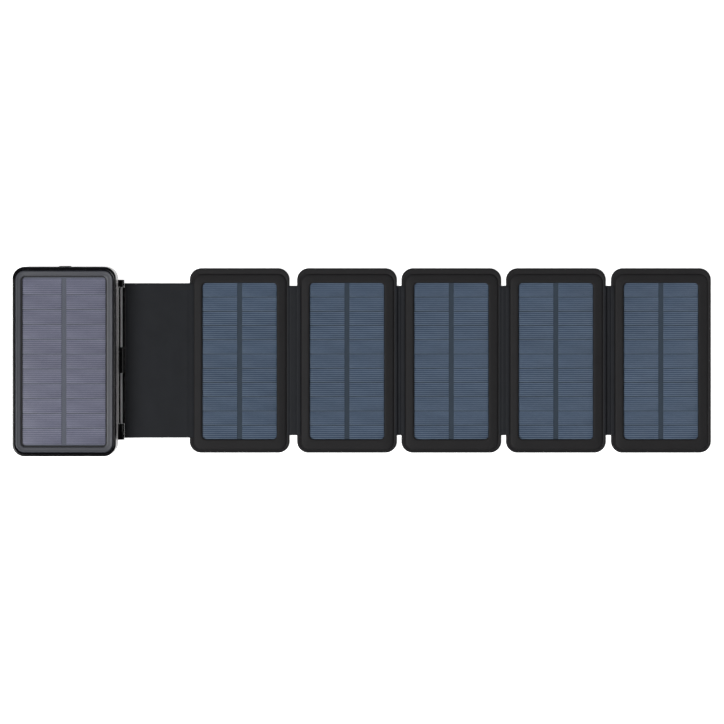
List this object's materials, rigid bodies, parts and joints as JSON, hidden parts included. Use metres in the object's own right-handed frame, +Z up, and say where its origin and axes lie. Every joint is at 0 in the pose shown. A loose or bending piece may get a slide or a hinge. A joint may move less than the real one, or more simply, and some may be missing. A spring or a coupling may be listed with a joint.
{
  "type": "folding solar power bank",
  "caption": "Portable battery case with its own solar panel, a hinged fabric flap, and a row of padded solar panels that fold up onto the case.",
  "frame": {"origin": "middle of the bounding box, on the surface the open object lies on", "axes": "+X from the case along the row of panels, +Y towards the end of the case with the sockets, +Z up, out of the solar cells"},
  "size_m": [0.5756, 0.1562, 0.028],
  "materials": {
    "case_plastic": "glossy black",
    "bezel_plastic": "satin dark grey",
    "clear_film": "satin clear film",
    "solar_cell": "blue grey with fine printed lines",
    "backing": "matt",
    "fabric": "fine charcoal weave",
    "hinge_plastic": "satin black",
    "steel": "drawn",
    "silicone": "soft matt",
    "circuit_board": "solder mask",
    "pouch_foil": "pressed foil",
    "socket_metal": "plated",
    "switch_plastic": "moulded",
    "lens_plastic": "frosted",
    "flat_cable": "amber film"
  },
  "bodies": {
    "case": {"lower_shell": "case_plastic", "upper_shell": "case_plastic", "bezel": "bezel_plastic", "case_clear_cover": "clear_film", "case_cell_sheet": "solar_cell", "case_backing_board": "backing", "battery_cell_1": "pouch_foil", "battery_cell_2": "pouch_foil", "main_circuit_board": "circuit_board", "usb_a_socket_1": "socket_metal", "usb_a_socket_2": "socket_metal", "usb_c_socket": "socket_metal", "button_switch": "switch_plastic", "charge_light_pipe": "lens_plastic", "light_lens": "lens_plastic", "light_board": "circuit_board", "case_screw_1": "steel", "case_screw_2": "steel", "case_screw_3": "steel", "case_screw_4": "steel", "hinge_rod": "steel"},
    "port_cover": {"port_cover": "silicone"},
    "power_button": {"power_button": "silicone"},
    "flap": {"flap_edge_bar": "hinge_plastic", "flap_front_fabric": "fabric", "flap_back_fabric": "fabric", "flap_lead": "flat_cable"},
    "panel_1": {"panel_1_front_cover": "fabric", "panel_1_back_cover": "fabric", "panel_1_clear_cover": "clear_film", "panel_1_cell_sheet": "solar_cell", "panel_1_backing_board": "backing"},
    "web_1": {"web_1_fabric": "fabric", "web_1_lead": "flat_cable"},
    "panel_2": {"panel_2_front_cover": "fabric", "panel_2_back_cover": "fabric", "panel_2_clear_cover": "clear_film", "panel_2_cell_sheet": "solar_cell", "panel_2_backing_board": "backing"},
    "web_2": {"web_2_fabric": "fabric", "web_2_lead": "flat_cable"},
    "panel_3": {"panel_3_front_cover": "fabric", "panel_3_back_cover": "fabric", "panel_3_clear_cover": "clear_film", "panel_3_cell_sheet": "solar_cell", "panel_3_backing_board": "backing"},
    "web_3": {"web_3_fabric": "fabric", "web_3_lead": "flat_cable"},
    "panel_4": {"panel_4_front_cover": "fabric", "panel_4_back_cover": "fabric", "panel_4_clear_cover": "clear_film", "panel_4_cell_sheet": "solar_cell", "panel_4_backing_board": "backing"},
    "web_4": {"web_4_fabric": "fabric", "web_4_lead": "flat_cable"},
    "panel_5": {"panel_5_front_cover": "fabric", "panel_5_back_cover": "fabric", "panel_5_clear_cover": "clear_film", "panel_5_cell_sheet": "solar_cell", "panel_5_backing_board": "backing"}
  },
  "joints": [
    {"name": "power_button_press", "type": "slide", "parent": "case", "child": "power_button", "axis": [1, 0, 0], "range_m": [0, 0.0008], "stiffness_N_per_m": 500},
    {"name": "port_cover_hinge", "type": "hinge", "parent": "case", "child": "port_cover", "pos_m": [-0.24495, 0.0775, 0.007], "axis": [-1, 0, 0], "range_deg": [0, 110]},
    {"name": "flap_hinge", "type": "hinge", "parent": "case", "child": "flap", "pos_m": [-0.19975, -0.0003, 0.0032], "axis": [0, -1, 0], "range_deg": [0, 90]},
    {"name": "flap_crease", "type": "hinge", "parent": "flap", "child": "panel_1", "pos_m": [-0.14835, -0.0003, 0.002], "axis": [0, -1, 0], "range_deg": [0, 90]},
    {"name": "web_1_hinge", "type": "hinge", "parent": "panel_1", "child": "web_1", "pos_m": [-0.06055, -0.0003, 0.002], "axis": [0, -1, 0], "range_deg": [0, 90]},
    {"name": "inner_fold", "type": "hinge", "parent": "panel_1", "child": "panel_2", "pos_m": [-0.0576, -0.0003, 0.005], "axis": [0, -1, 0], "range_deg": [0, 180]},
    {"name": "web_2_hinge", "type": "hinge", "parent": "panel_2", "child": "web_2", "pos_m": [0.02825, -0.0003, 0.002], "axis": [0, 1, 0], "range_deg": [0, 90]},
    {"name": "panel_3_fold", "type": "hinge", "parent": "panel_2", "child": "panel_3", "pos_m": [0.02995, -0.0003, -0.00015], "axis": [0, 1, 0], "range_deg": [0, 180]},
    {"name": "web_3_hinge", "type": "hinge", "parent": "panel_3", "child": "web_3", "pos_m": [0.11455, -0.0003, 0.002], "axis": [0, -1, 0], "range_deg": [0, 90]},
    {"name": "outer_fold", "type": "hinge", "parent": "panel_3", "child": "panel_4", "pos_m": [0.11635, -0.0003, 0.00415], "axis": [0, -1, 0], "range_deg": [0, 180]},
    {"name": "web_4_hinge", "type": "hinge", "parent": "panel_4", "child": "web_4", "pos_m": [0.20105, -0.0003, 0.002], "axis": [0, 1, 0], "range_deg": [0, 90]},
    {"name": "panel_5_fold", "type": "hinge", "parent": "panel_4", "child": "panel_5", "pos_m": [0.20305, -0.0003, -0.00015], "axis": [0, 1, 0], "range_deg": [0, 180]}
  ],
  "couplings": [
    {"joint": "web_1_hinge", "follows": "inner_fold", "ratio": 0.5},
    {"joint": "web_2_hinge", "follows": "inner_fold", "ratio": 0.5},
    {"joint": "panel_3_fold", "follows": "inner_fold", "ratio": 1},
    {"joint": "web_3_hinge", "follows": "outer_fold", "ratio": 0.5},
    {"joint": "web_4_hinge", "follows": "outer_fold", "ratio": 0.5},
    {"joint": "panel_5_fold", "follows": "outer_fold", "ratio": 1}
  ]
}
